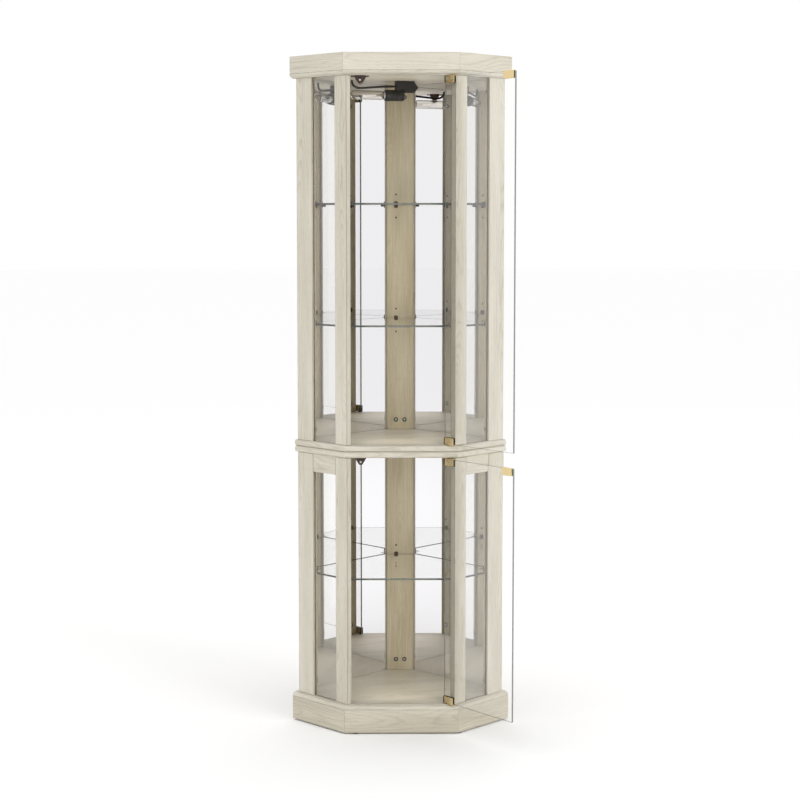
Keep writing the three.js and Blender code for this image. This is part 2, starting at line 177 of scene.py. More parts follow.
def new_group(name, inputs, outputs):
    """An empty node group with named sockets, and its input and output nodes."""
    tree = bpy.data.node_groups.new(name, "ShaderNodeTree")
    for socket, kind in inputs:
        tree.interface.new_socket(socket, in_out="INPUT", socket_type=kind)
    for socket, kind in outputs:
        tree.interface.new_socket(socket, in_out="OUTPUT", socket_type=kind)
    return tree, tree.nodes.new("NodeGroupInput"), tree.nodes.new("NodeGroupOutput")


def scaled(tree, vector, x, y, z):
    node = add_node(tree, "ShaderNodeVectorMath", {0: vector, 1: (x, y, z)}, operation="MULTIPLY")
    return node.outputs[0]


def noise(tree, vector, detail=2.0):
    return add_node(tree, "ShaderNodeTexNoise", {"Vector": vector, "Scale": 1, "Detail": detail})


def arithmetic(tree, operation, a, b=0.0, c=0.0):
    node = add_node(tree, "ShaderNodeMath", {0: a, 1: b, 2: c}, operation=operation)
    return node.outputs[0]


def remap(tree, value, low, high, to_low=0.0, to_high=1.0):
    inputs = {"Value": value, "From Min": low, "From Max": high, "To Min": to_low, "To Max": to_high}
    return add_node(tree, "ShaderNodeMapRange", inputs).outputs[0]


def blend_colours(tree, share, first, second):
    node = add_node(tree, "ShaderNodeMix", data_type="RGBA")
    for socket, value in ((0, share), (6, first), (7, second)):
        if isinstance(value, bpy.types.NodeSocket):
            tree.links.new(value, node.inputs[socket])
        else:
            node.inputs[socket].default_value = value
    return node.outputs[2]


def oak_grain_group():
    """Oak's grain, along the Z of the board's own axes. Rings lie about the tree's heart, with more
    pores in each ring's early wood, and fibres and a slow change of tone run along the board."""
    sockets = [("Vector", "NodeSocketVector")]
    sockets += [(name, "NodeSocketColor") for name in ("Pale", "Tan", "Ring", "Pore")]
    tree, given, made = new_group("oak_grain", sockets, SURFACE_SOCKETS)
    place = given.outputs["Vector"]
    split = add_node(tree, "ShaderNodeSeparateXYZ", {0: place})
    bends = noise(tree, scaled(tree, place, 6, 6, 1.7)).outputs[1]
    drift = add_node(tree, "ShaderNodeSeparateColor", {0: bends})
    across = arithmetic(tree, "MULTIPLY_ADD", drift.outputs[0], 0.04, split.outputs[0])
    across = arithmetic(tree, "SUBTRACT", across, 0.02)
    depth = arithmetic(tree, "MULTIPLY_ADD", drift.outputs[1], 0.13, split.outputs[1])
    depth = arithmetic(tree, "SUBTRACT", depth, 0.05)
    squares = arithmetic(tree, "MULTIPLY", across, across)
    radius = arithmetic(tree, "SQRT", arithmetic(tree, "MULTIPLY_ADD", depth, depth, squares))
    wobble = noise(tree, scaled(tree, place, 90, 90, 14), 3).outputs[0]
    count = arithmetic(tree, "DIVIDE", radius, RING_SPACING)
    turn = arithmetic(tree, "FRACT", arithmetic(tree, "MULTIPLY_ADD", wobble, 0.9, count))
    late = remap(tree, turn, 0.55, 1.0)
    early = remap(tree, turn, 0.16, 0.0)
    ring = arithmetic(tree, "MAXIMUM", arithmetic(tree, "POWER", late, 2.0), early)
    fibre = remap(tree, noise(tree, scaled(tree, place, 750, 750, 14), 3).outputs[0], 0.34, 0.66)
    tone = remap(tree, noise(tree, scaled(tree, place, 22, 22, 3.0)).outputs[0], 0.35, 0.65)
    dashes = noise(tree, scaled(tree, place, 1900, 1900, 55), 1).outputs[0]
    porous = remap(tree, turn, 0.5, 0.05, 0.25, 1.0)
    pores = arithmetic(tree, "MULTIPLY", remap(tree, dashes, 0.60, 0.66), porous)
    share = arithmetic(tree, "MULTIPLY_ADD", fibre, 0.45, arithmetic(tree, "MULTIPLY", tone, 0.45))
    colour = blend_colours(tree, share, given.outputs["Pale"], given.outputs["Tan"])
    ring_share = arithmetic(tree, "MULTIPLY", ring, arithmetic(tree, "MULTIPLY_ADD", tone, 0.22, 0.22))
    colour = blend_colours(tree, ring_share, colour, given.outputs["Ring"])
    colour = blend_colours(tree, arithmetic(tree, "MULTIPLY", pores, 0.55), colour, given.outputs["Pore"])
    low = arithmetic(tree, "MULTIPLY_ADD", ring, 0.25, pores)
    tree.links.new(colour, made.inputs["Color"])
    tree.links.new(remap(tree, low, 0.0, 1.25, 0.44, 0.66), made.inputs["Roughness"])
    tree.links.new(remap(tree, low, 0.0, 1.25, 1.0, 0.0), made.inputs["Height"])
    return tree


def new_finish(name, **values):
    """A material with one Principled shader whose plain values are set by socket name."""
    finish = bpy.data.materials.new(name)
    finish.use_nodes = True
    shader = finish.node_tree.nodes["Principled BSDF"]
    for socket, value in values.items():
        shader.inputs[socket.replace("_", " ")].default_value = value
    return finish, finish.node_tree, shader


def raise_surface(tree, shader, height, distance, strength=1.0):
    inputs = {"Height": height, "Distance": distance, "Strength": strength}
    bump = add_node(tree, "ShaderNodeBump", inputs)
    tree.links.new(bump.outputs[0], shader.inputs["Normal"])


oak_grain = oak_grain_group()


def oak_finish(name, pale, tan):
    """Lacquered oak between a pale and a tan tone, on a board that has its grain axes laid."""
    finish, tree, shader = new_finish(name, Specular_IOR_Level=0.4)
    axes = add_node(tree, "ShaderNodeAttribute", attribute_name="grain")
    inputs = {"Vector": axes.outputs["Vector"], "Pale": pale, "Tan": tan}
    inputs.update({"Ring": OAK_RING, "Pore": OAK_PORE})
    grain = add_node(tree, "ShaderNodeGroup", inputs, node_tree=oak_grain)
    tree.links.new(grain.outputs["Color"], shader.inputs["Base Color"])
    tree.links.new(grain.outputs["Roughness"], shader.inputs["Roughness"])
    raise_surface(tree, shader, grain.outputs["Height"], PORE_DEPTH, 0.8)
    return finish


oak = oak_finish("oak", OAK_PALE, OAK_TAN)
oak_arris = oak_finish("oak_arris", ARRIS_SHADE_PALE, ARRIS_SHADE_TAN)
oak_plinth = oak_finish("oak_plinth", PLINTH_SHADED_PALE, PLINTH_SHADED_TAN)
oak_inner = oak_finish("oak_inner", SHADED_INNER_PALE, SHADED_INNER_TAN)
UP = Vector((0, 0, 1))
LOOSE = 0.002 * MM
SHARP_EDGE = math.radians(35)


def cad_solid(node):
    """A CAD node's solid with its loose triangles merged into whole faces."""
    shape = bmesh.new()
    shape.from_mesh(frame["nodes"][node].data)
    bmesh.ops.remove_doubles(shape, verts=shape.verts, dist=LOOSE)
    flat = math.radians(1)
    bmesh.ops.dissolve_limit(shape, angle_limit=flat, verts=shape.verts, edges=shape.edges)
    return shape


def ease(shape, width, segments=2, finish=-1):
    """Rounds every sharp edge. The rounded strips alone are smooth."""
    pairs = [edge for edge in shape.edges if len(edge.link_faces) == 2]
    made = bmesh.ops.bevel(
        shape,
        geom=[edge for edge in pairs if edge.calc_face_angle(0) > SHARP_EDGE],
        offset=width,
        offset_type="OFFSET",
        affect="EDGES",
        segments=segments,
        profile=0.5,
        clamp_overlap=True,
        material=finish,
    )
    for face in made["faces"]:
        face.smooth = True
    return shape


def fit_piece(shape, name, body, slot, finishes, *nodes):
    """Makes the finished piece, hangs it on its body, and lets it stand for its CAD node."""
    mesh = bpy.data.meshes.new(name)
    shape.to_mesh(mesh)
    shape.free()
    for finish in finishes:
        mesh.materials.append(finish)
    piece = add_object(name, mesh)
    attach(piece, body)
    if nodes:
        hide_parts(*nodes)
    return piece


def lay_grain(piece, along, out, pith=14 * MM, edged=False):
    """Gives a board its grain axes: X across it, Y into it and Z along it, from a point of its own
    near the tree's heart. A small pith shows arches on the face, and a large one straight lines.
    The sides of an edged board follow their own length."""
    mesh = piece.data
    points = [vertex.co for vertex in mesh.vertices]
    middle = sum(points, Vector()) / len(points)
    draw = random.Random(piece.name)
    start = Vector((draw.uniform(-1, 1) * pith, draw.uniform(0, 12) * MM, draw.uniform(-40, 40)))
    grain = mesh.attributes.new("grain", "FLOAT_VECTOR", "CORNER")
    for polygon in mesh.polygons:
        face_out, face_along = Vector(out).normalized(), Vector(along).normalized()
        if edged and abs(polygon.normal.z) < 0.97:
            face_out = Vector((polygon.normal.x, polygon.normal.y, 0)).normalized()
            face_along = UP.cross(face_out)
        across = face_along.cross(face_out)
        for corner in polygon.loop_indices:
            reach = points[mesh.loops[corner].vertex_index] - middle
            axes = Vector((reach.dot(across), reach.dot(face_out), reach.dot(face_along)))
            grain.data[corner].vector = axes + start


# Plan of the cabinet, worked out from the base board and the plinth's front board: a straight
# front, sides at 45 degrees and backs square to them.
MITRE_GAP = 0.15 * MM
ARC_STEPS = 6
base_lo, base_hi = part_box("base_board")
HALF_WIDTH = base_hi.x
FRONT_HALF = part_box("plinth_front")[1].x + MITRE_GAP
SIDE_Y = base_lo.y + HALF_WIDTH - FRONT_HALF
BACK_SUM = HALF_WIDTH + SIDE_Y
ROOT2 = math.sqrt(2)


def plan(inset, back_inset=0.0):
    """The six corners, with the front and sides set in by one amount and the backs by another."""
    front = FRONT_HALF - inset * (ROOT2 - 1)
    side = HALF_WIDTH - (inset + back_inset) / ROOT2
    side_y = SIDE_Y + (inset - back_inset) / ROOT2
    rear_y = base_hi.y - back_inset
    rear = BACK_SUM - back_inset * ROOT2 - rear_y
    right = [(front, base_lo.y + inset), (side, side_y), (rear, rear_y)]
    return right + [(-x, y) for x, y in reversed(right)]


def plan_board(profile, back_inset=0.0):
    """A board with that plan. The profile runs upwards as pairs of inset and height."""
    shape = bmesh.new()
    first_inset, bottom = profile[0]
    corners = [shape.verts.new((x, y, bottom)) for x, y in plan(first_inset, back_inset)]
    rim = shape.faces.new(corners).edges[:]
    for inset, height in profile[1:]:
        grown = bmesh.ops.extrude_edge_only(shape, edges=rim)["geom"]
        rim = [part for part in grown if isinstance(part, bmesh.types.BMEdge)]
        corners = [Vector((x, y, height)) for x, y in plan(inset, back_inset)]
        for vert in grown:
            if isinstance(vert, bmesh.types.BMVert):
                vert.co = min(corners, key=lambda corner: (corner.xy - vert.co.xy).length)
    bmesh.ops.edgeloop_fill(shape, edges=rim)
    bmesh.ops.recalc_face_normals(shape, faces=shape.faces)
    return shape


def arc(centre_inset, centre_height, radius, start, end):
    """Points of a round part of a profile. At 0 degrees it points outwards and at 90 up."""
    points = []
    for step in range(ARC_STEPS + 1):
        angle = math.radians(start + (end - start) * step / ARC_STEPS)
        inset = centre_inset - radius * math.cos(angle)
        points.append((inset, centre_height + radius * math.sin(angle)))
    return points


def cut_away(shape, tool, finishes):
    """Takes a tool's shape out of another. The cut faces keep the tool's finish."""
    pair = []
    for part in (shape, tool):
        mesh = bpy.data.meshes.new("cut")
        part.to_mesh(mesh)
        for finish in finishes:
            mesh.materials.append(finish)
        pair.append(add_object(f"cut_{len(pair)}", mesh))
    cut = pair[0].modifiers.new("cut", "BOOLEAN")
    cut.object = pair[1]
    cut.solver = "EXACT"
    done = pair[0].evaluated_get(bpy.context.evaluated_depsgraph_get())
    result = bpy.data.meshes.new_from_object(done)
    shape.clear()
    shape.from_mesh(result)
    for part in pair:
        bpy.data.objects.remove(part)


def drill(shape, holes, radius, depth, finishes):
    """Drills round holes, each given by its mouth's centre and the way out. Their walls take the
    last finish."""
    tool = bmesh.new()
    for mouth, out in holes:
        place = Matrix.Translation(mouth) @ Vector(out).to_track_quat("Z", "Y").to_matrix().to_4x4()
        bmesh.ops.create_cone(
            tool,
            cap_ends=True,
            segments=20,
            radius1=radius,
            radius2=radius,
            depth=2 * depth,
            matrix=place,
        )
    for face in tool.faces:
        face.smooth = len(face.verts) == 4
        face.material_index = len(finishes) - 1
    cut_away(shape, tool, finishes)


# Plinth and crown: frames of 18 mm oak boards on edge. The front and side boards meet in mitres,
# and two more boards close the backs. Their arrises are just broken with sandpaper.
BROKEN_EDGE = 0.5 * MM


def frame_board(node, finish, along, out):
    """One board of a frame, with its grain along it."""
    board = ease(cad_solid(node), BROKEN_EDGE)
    piece = fit_piece(board, f"{node}_oak", "root", "oak", [finish], node)
    lay_grain(piece, along, out, pith=6 * MM)


# The plinth's boards take the darker oak, which is partly painted shade.
for level, finish in (("plinth", oak_plinth), ("crown", oak)):
    frame_board(f"{level}_front", finish, (1, 0, 0), (0, -1, 0))
    for side, hand in (("left", -1), ("right", 1)):
        frame_board(f"{level}_{side}", finish, (hand, 1, 0), (hand, -1, 0))
        frame_board(f"{level}_back_{side}", finish, (-hand, 1, 0), (hand, 1, 0))

# Base board: the lower case's floor. Its edge stands on the plinth, with a thumb moulding: a
# small square step, then a quarter round that runs out flush with the plinth's face.
STEP_IN = 10.5 * MM
STEP_DEEP = 1.8 * MM
ROUND = 9 * MM
SEAM = 1.5 * MM
PIVOT_BORE = 4 * MM
BUSH_DEPTH = 8 * MM
WIDE_PITH = 60 * MM
MOULDING_AREA = 0.01
MOULDING_ANGLE = math.radians(30)
base_bottom, base_top = base_lo.z, base_hi.z
round_from = base_top - STEP_DEEP - ROUND
thumb = [(SEAM, base_bottom), (0, base_bottom + SEAM), (0, round_from)]
thumb += arc(ROUND, round_from, ROUND, 0, 90)[1:]
thumb += [(STEP_IN, base_top - STEP_DEEP), (STEP_IN, base_top)]
pivot = Vector(frame["joints"][0]["pos_m"])


def plan_piece(node, profile, along, bore, back_inset=0.0):
    """A moulded board, with the hole in it that takes the pivots' bush."""
    shape = plan_board(profile, back_inset)
    for face in shape.faces:
        face.smooth = abs(face.normal.z) < 0.999 and face.calc_area() < MOULDING_AREA
    drill(shape, [bore], PIVOT_BORE, BUSH_DEPTH, [oak])
    piece = fit_piece(shape, f"{node}_oak", "root", "oak", [oak], node)
    piece.data.set_sharp_from_angle(angle=MOULDING_ANGLE)
    lay_grain(piece, along, UP, pith=WIDE_PITH, edged=True)


def at_pivot(height):
    return Vector((pivot.x, pivot.y, height))


plan_piece("base_board", thumb, (1, 0.25, 0), (at_pivot(base_top), UP))

# Waist: the lower case's top and the upper case's floor, two boards with bullnosed edges that
# show as a pair of beads.
WAIST_INSET = 6.5 * MM
NOSE = 7.2 * MM
for node, along in (("waist_lower_board", (1, 0, 0)), ("waist_upper_board", (1, 0.2, 0))):
    low, high = (corner.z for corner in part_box(node))
    bead = arc(WAIST_INSET + NOSE, low + NOSE, NOSE, -90, 0)
    bead += arc(WAIST_INSET + NOSE, high - NOSE, NOSE, 0, 90)
    bore = (at_pivot(low), -UP) if node == "waist_lower_board" else (at_pivot(high), UP)
    plan_piece(node, bead, along, bore, back_inset=WAIST_INSET)

# Ceiling board: the base board's moulding turned over, under the crown. The crown's top is closed
# with a board let in between its frame.
low, high = (corner.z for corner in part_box("ceiling_board"))
upturned = [(inset, low + base_top - height) for inset, height in reversed(thumb[2:])]
upturned += [(0, high - SEAM), (SEAM, high)]
plan_piece("ceiling_board", upturned, (1, -0.15, 0), (at_pivot(low), -UP))
top_shape = ease(cad_solid("top_board"), BROKEN_EDGE)
top_board = fit_piece(top_shape, "top_board_oak", "root", "oak", [oak], "top_board")
lay_grain(top_board, (1, 0, 0), UP, pith=WIDE_PITH)

# Posts: solid oak, grooved and rebated for the glass and the mirrors. Their inner faces are
# drilled in threes for the shelf pegs at the 32 mm pitch, with the peg in the middle hole.


def mottle_group():
    """Patches of two tones and two roughnesses with finer marks over them, as on worn surfaces."""
    sockets = [("Vector", "NodeSocketVector")]
    sockets += [(name, "NodeSocketColor") for name in ("First", "Second")]
    numbers = ("Patch Scale", "Fine Scale", "Smooth", "Rough")
    sockets += [(name, "NodeSocketFloat") for name in numbers]
    tree, given, made = new_group("mottle", sockets, SURFACE_SOCKETS)
    shares = []
    for name in ("Patch Scale", "Fine Scale"):
        inputs = {"Vector": given.outputs["Vector"], "Scale": given.outputs[name], "Detail": 3}
        spots = add_node(tree, "ShaderNodeTexNoise", inputs)
        shares.append(remap(tree, spots.outputs[0], 0.3, 0.7))
    patches, fine = shares
    tone = arithmetic(tree, "MULTIPLY_ADD", fine, 0.3, arithmetic(tree, "MULTIPLY", patches, 0.7))
    colour = blend_colours(tree, tone, given.outputs["First"], given.outputs["Second"])
    wear = arithmetic(tree, "MULTIPLY_ADD", fine, 0.4, arithmetic(tree, "MULTIPLY", patches, 0.6))
    roughness = remap(tree, wear, 0, 1, given.outputs["Smooth"], given.outputs["Rough"])
    tree.links.new(colour, made.inputs["Color"])
    tree.links.new(roughness, made.inputs["Roughness"])
    tree.links.new(fine, made.inputs["Height"])
    return tree


mottle = mottle_group()


def mottled_finish(name, tones, gloss, scales, depth=0, stretch=(1, 1, 1), **values):
    """A finish in two tones, or with a plain base colour if it is given none. It lies between two
    roughnesses, with so many patches and so many fine marks to a metre."""
    finish, tree, shader = new_finish(name, **values)
    place = scaled(tree, add_node(tree, "ShaderNodeTexCoord").outputs["Object"], *stretch)
    inputs = {"Vector": place, "Smooth": gloss[0], "Rough": gloss[1]}
    inputs.update({"Patch Scale": scales[0], "Fine Scale": scales[1]})
    if tones:
        inputs.update({"First": (*tones[0], 1), "Second": (*tones[1], 1)})
    surface = add_node(tree, "ShaderNodeGroup", inputs, node_tree=mottle)
    if tones:
        tree.links.new(surface.outputs["Color"], shader.inputs["Base Color"])
    tree.links.new(surface.outputs["Roughness"], shader.inputs["Roughness"])
    if depth:
        raise_surface(tree, shader, surface.outputs["Height"], depth)
    return finish


# The peg holes' walls: near-black brown, painted shade for the dark inside of each hole.
shaded_bore = mottled_finish(
    "scorched_bore",
    tones=((0.035, 0.022, 0.012), (0.09, 0.06, 0.035)),
    gloss=(0.8, 0.95),
    scales=(200, 700),
    depth=0.05 * MM,
)
POST_EDGE = 1.2 * MM
PEG_HOLE = 2.5 * MM
PEG_DEPTH = 9 * MM
PEG_PITCH = 32 * MM
PEG_DROP = 4 * MM
FRONT_POST_INWARD = 15 * MM / ROOT2
REAR_COLUMN = -11.6 * MM
SIDE_COLUMN = 24 * MM
LOCK_PAIR = 12 * MM
SHELVES = {"lower": ["lower_shelf"], "upper": ["upper_middle_shelf", "upper_top_shelf"]}


def shelf_level(shelf):
    low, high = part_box(shelf)
    return (low.z + high.z) / 2


def post_faces(case):
    """Each post's inner face: its centre line, the way it faces, the column of its pegs, and the
    columns of its locks."""
    faces = {}
    rear = Vector((0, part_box(f"{case}_rear_post")[0].y, 0))
    columns = (-LOCK_PAIR, LOCK_PAIR)
    faces["rear_post"] = (rear, Vector((0, -1, 0)), REAR_COLUMN, columns)
    for side, hand in (("left", -1), ("right", 1)):
        low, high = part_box(f"{case}_side_post_{side}")
        face_x = high.x if hand < 0 else low.x
        inner = Vector((face_x, SIDE_Y, 0))
        columns = (-hand * LOCK_PAIR, hand * LOCK_PAIR)
        faces[f"side_post_{side}"] = (inner, Vector((-hand, 0, 0)), -hand * SIDE_COLUMN, columns)
        low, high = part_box(f"{case}_front_post_{side}")
        x = (low.x + high.x - hand * FRONT_POST_INWARD) / 2
        y = (low.y + FRONT_POST_INWARD + high.y) / 2
        inward = Vector((-hand, 1, 0)).normalized()
        faces[f"front_post_{side}"] = (Vector((x, y, 0)), inward, 0, (0,))
    return faces


def on_face(face, column, height):
    """A point on a post's inner face. Columns run to the right of someone facing the face."""
    centre, out = face[:2]
    return centre + UP.cross(out) * column + UP * height


post_finishes = [oak, oak_arris, oak_inner, shaded_bore]
ARRIS_SHADE_SLOT = 1
SHADED_INNER_SLOT = 2
for case in ("lower", "upper"):
    middles = [shelf_level(shelf) - PEG_DROP for shelf in SHELVES[case]]
    heights = [middle + step * PEG_PITCH for middle in middles for step in (-1, 0, 1)]
    for post, face in post_faces(case).items():
        node = f"{case}_{post}"
        holes = [(on_face(face, face[2], height), face[1]) for height in heights]
        # The rounded arrises take the darker oak, painted shade along each edge.
        shape = ease(cad_solid(node), POST_EDGE, 3, finish=ARRIS_SHADE_SLOT)
        # The faces into the case take the darker, warmer oak, as painted shade.
        for part in shape.faces:
            if part.normal.dot(face[1]) > 0.9:
                part.material_index = SHADED_INNER_SLOT
        # The holes' walls take the last finish, the painted shade.
        drill(shape, holes, PEG_HOLE, PEG_DEPTH, post_finishes)
        piece = fit_piece(shape, f"{node}_oak", "root", "oak", post_finishes, node)
        lay_grain(piece, UP, face[1], pith=(9 if "side" in post else 22) * MM)

# Side rails: short oak rails over the lower side panes, let in between the posts.
for side, hand in (("left", -1), ("right", 1)):
    node = f"lower_side_rail_{side}"
    rail = ease(cad_solid(node), POST_EDGE)
    piece = fit_piece(rail, f"{node}_oak", "root", "oak", [oak], node)
    lay_grain(piece, (hand, 1, 0), (hand, -1, 0), pith=10 * MM)

# Locks: each post is drawn down to the boards by cams let into its inner face near both ends. A black
# ring round each cam is painted shade for the dark recess about it, and the bright cam in it has a cross
# slot.
LOCK_RADIUS = 6 * MM
CAM_RADIUS = 3.1 * MM
CAM_HOLE = CAM_RADIUS + 0.2 * MM
CAM_TURN = 90
SLOT_LONG = 2.6 * MM
SLOT_HALF = 0.55 * MM
LOCK_HEIGHTS = {"lower": (31 * MM, 34 * MM), "upper": (27 * MM, 34 * MM)}


def turned_part(profile, segments=28):
    """A part turned on a lathe about Z. The profile is pairs of radius and height."""
    shape = bmesh.new()
    points = [shape.verts.new((radius, 0, height)) for radius, height in profile]
    off_axis = [pair for pair in zip(points, points[1:]) if pair[0].co.x or pair[1].co.x]
    edges = [shape.edges.new(pair) for pair in off_axis]
    bmesh.ops.spin(
        shape,
        geom=points + edges,
        cent=(0, 0, 0),
        axis=(0, 0, 1),
        angle=2 * math.pi,
        steps=segments,
        use_merge=True,
    )
    bmesh.ops.remove_doubles(shape, verts=shape.verts, dist=LOOSE)
    bmesh.ops.recalc_face_normals(shape, faces=shape.faces)
    for face in shape.faces:
        face.smooth = True
    return shape


def block(x0, x1, y0, y1, z0, z1):
    shape = bmesh.new()
    size = Matrix.Diagonal((x1 - x0, y1 - y0, z1 - z0, 1))
    middle = Matrix.Translation(Vector((x0 + x1, y0 + y1, z0 + z1)) / 2)
    bmesh.ops.create_cube(shape, size=1, matrix=middle @ size)
    return shape


def stamp(shape, part, place, finish=0):
    """Adds a copy of a part to a shape, at a place."""
    mesh = bpy.data.meshes.new("stamp")
    part.to_mesh(mesh)
    mesh.transform(place)
    for polygon in mesh.polygons:
        polygon.material_index = finish
    shape.from_mesh(mesh)
    bpy.data.meshes.remove(mesh)


def facing(point, out, turn=0.0):
    """A place whose Z looks out of an upright face, with Y upwards and X along the face."""
    out = Vector(out).normalized()
    axes = Matrix((UP.cross(out), UP, out)).transposed().to_4x4()
    return Matrix.Translation(point) @ axes @ Matrix.Rotation(turn, 4, "Z")


black_plastic = mottled_finish(
    "black_plastic",
    tones=((0.013, 0.012, 0.012), (0.022, 0.021, 0.02)),
    gloss=(0.34, 0.52),
    scales=(240, 2000),
    depth=0.03 * MM,
)
zinc = mottled_finish(
    "zinc",
    tones=((0.48, 0.48, 0.48), (0.66, 0.66, 0.66)),
    gloss=(0.26, 0.4),
    scales=(150, 1250),
    depth=0.01 * MM,
    Metallic=1.0,
)

# The black ring about each cam: painted shade for the dark recess round it.
ring = [(0, -0.4 * MM), (LOCK_RADIUS, -0.4 * MM), (LOCK_RADIUS, 0.3 * MM)]
ring += [(LOCK_RADIUS - 0.5 * MM, 0.7 * MM), (CAM_HOLE + 0.3 * MM, 0.7 * MM)]
ring += [(CAM_HOLE, 0.3 * MM), (CAM_HOLE, 0), (0, 0)]
dark_ring_painted_shade = turned_part(ring)
disc = [(0, 0.02 * MM), (CAM_RADIUS, 0.02 * MM), (CAM_RADIUS, 0.35 * MM)]
disc += [(CAM_RADIUS - 0.3 * MM, 0.6 * MM), (0, 0.6 * MM)]
cam = turned_part(disc)
slot_tool = block(-SLOT_LONG, SLOT_LONG, -SLOT_HALF, SLOT_HALF, 0.25 * MM, 2 * MM)
for turn in (0, math.pi / 2):
    tool = bmesh.new()
    stamp(tool, slot_tool, Matrix.Rotation(turn, 4, "Z"))
    cut_away(cam, tool, [zinc])

for case in ("lower", "upper"):
    floor_z, ceiling_z = (corner.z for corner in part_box(f"{case}_rear_post"))
    above_floor, below_ceiling = LOCK_HEIGHTS[case]
    locks = bmesh.new()
    for face in post_faces(case).values():
        for height in (floor_z + above_floor, ceiling_z - below_ceiling):
            for column in face[3]:
                place = facing(on_face(face, column, height), face[1], turn=column * CAM_TURN)
                stamp(locks, dark_ring_painted_shade, place, 0)
                stamp(locks, cam, place, 1)
    fit_piece(locks, f"{case}_post_locks", "root", "black_plastic", [black_plastic, zinc])

# Side panes: 4 mm clear glass in the grooves of the posts. Light passes straight through them.
GLASS_TINT = (0.995, 0.995, 0.985, 1)
# The edges' dark tints are painted shade for light lost in the glass; the doors' edges, in front of the
# case, are painted lighter than those inside it.
PANE_EDGE_PAINTED_SHADE = (0.085, 0.095, 0.085, 1)
DOOR_EDGE_LIGHTER_SHADE = (0.30, 0.33, 0.31, 1)
GLASS_ARRIS = 0.5 * MM


def clear_finish(name, **values):
    """Glass that bends what is seen through it and lets lamplight by."""
    finish = mottled_finish(name, None, (0.0, 0.012), (4, 40), Transmission_Weight=1.0, **values)
    tree = finish.node_tree
    rays = add_node(tree, "ShaderNodeLightPath")
    open_air = add_node(tree, "ShaderNodeBsdfTransparent", {"Color": values["Base_Color"]})
    glass = tree.nodes["Principled BSDF"].outputs[0]
    parts = {0: rays.outputs["Is Shadow Ray"], 1: glass, 2: open_air.outputs[0]}
    mixed = add_node(tree, "ShaderNodeMixShader", parts)
    tree.links.new(mixed.outputs[0], tree.nodes["Material Output"].inputs["Surface"])
    return finish


def edge_finish(name, tint):
    """The finely ground edge of a pane, tinted dark as painted shade for the light that is lost in the
    glass.
    """
    values = {"Base_Color": tint, "Transmission_Weight": 0.35, "IOR": 1.5}
    return mottled_finish(name, None, (0.12, 0.34), (90, 700), **values)


clear_glass = clear_finish("clear_glass", Base_Color=GLASS_TINT, IOR=1.5)
glass_edge = edge_finish("glass_edge", PANE_EDGE_PAINTED_SHADE)
door_edge = edge_finish("door_edge", DOOR_EDGE_LIGHTER_SHADE)


def glass_panel(node, body, finishes):
    """A cut pane with its edges ground and their arrises broken. Its edges take the last finish."""
    shape = ease(cad_solid(node), GLASS_ARRIS, 1)
    for face in shape.faces:
        face.smooth = False
        face.material_index = len(finishes) - 1
    for face in sorted(shape.faces, key=lambda face: face.calc_area())[-2:]:
        face.material_index = 0
    fit_piece(shape, f"{node}_cut", body, "clear_glass", finishes, node)


for case in ("lower", "upper"):
    for side in ("left", "right"):
        glass_panel(f"{case}_side_pane_{side}", "root", [clear_glass])

# Mirrored backs: 3 mm silvered glass with a sheet of hardboard behind it, both in the posts'
# rebates and held there by pins.
SILVERED_SHARE = 0.52
LAYER_EDGE = 0.35 * MM
HEAD_RADIUS = 1.6 * MM
HEAD_SPACING = 0.16
HEAD_INSET = 9 * MM
silvered = mottled_finish(
    "silvered",
    tones=((0.935, 0.93, 0.935), (0.925, 0.92, 0.93)),
    gloss=(0.0, 0.01),
    scales=(4, 30),
    Metallic=1.0,
)
hardboard = mottled_finish(
    "hardboard",
    tones=((0.226, 0.148, 0.085), (0.19, 0.122, 0.068)),
    gloss=(0.55, 0.8),
    scales=(16, 900),
    depth=0.05 * MM,
    Specular_IOR_Level=0.25,
)
steel = mottled_finish(
    "steel",
    tones=((0.42, 0.42, 0.43), (0.56, 0.56, 0.57)),
    gloss=(0.24, 0.38),
    scales=(120, 1000),
    depth=0.01 * MM,
    Metallic=1.0,
)
head = [(0, 0.9 * MM), (HEAD_RADIUS * 0.7, 0.75 * MM), (HEAD_RADIUS, 0.2 * MM)]
head += [(HEAD_RADIUS, 0), (0, 0)]
pin_head = turned_part(head, 12)

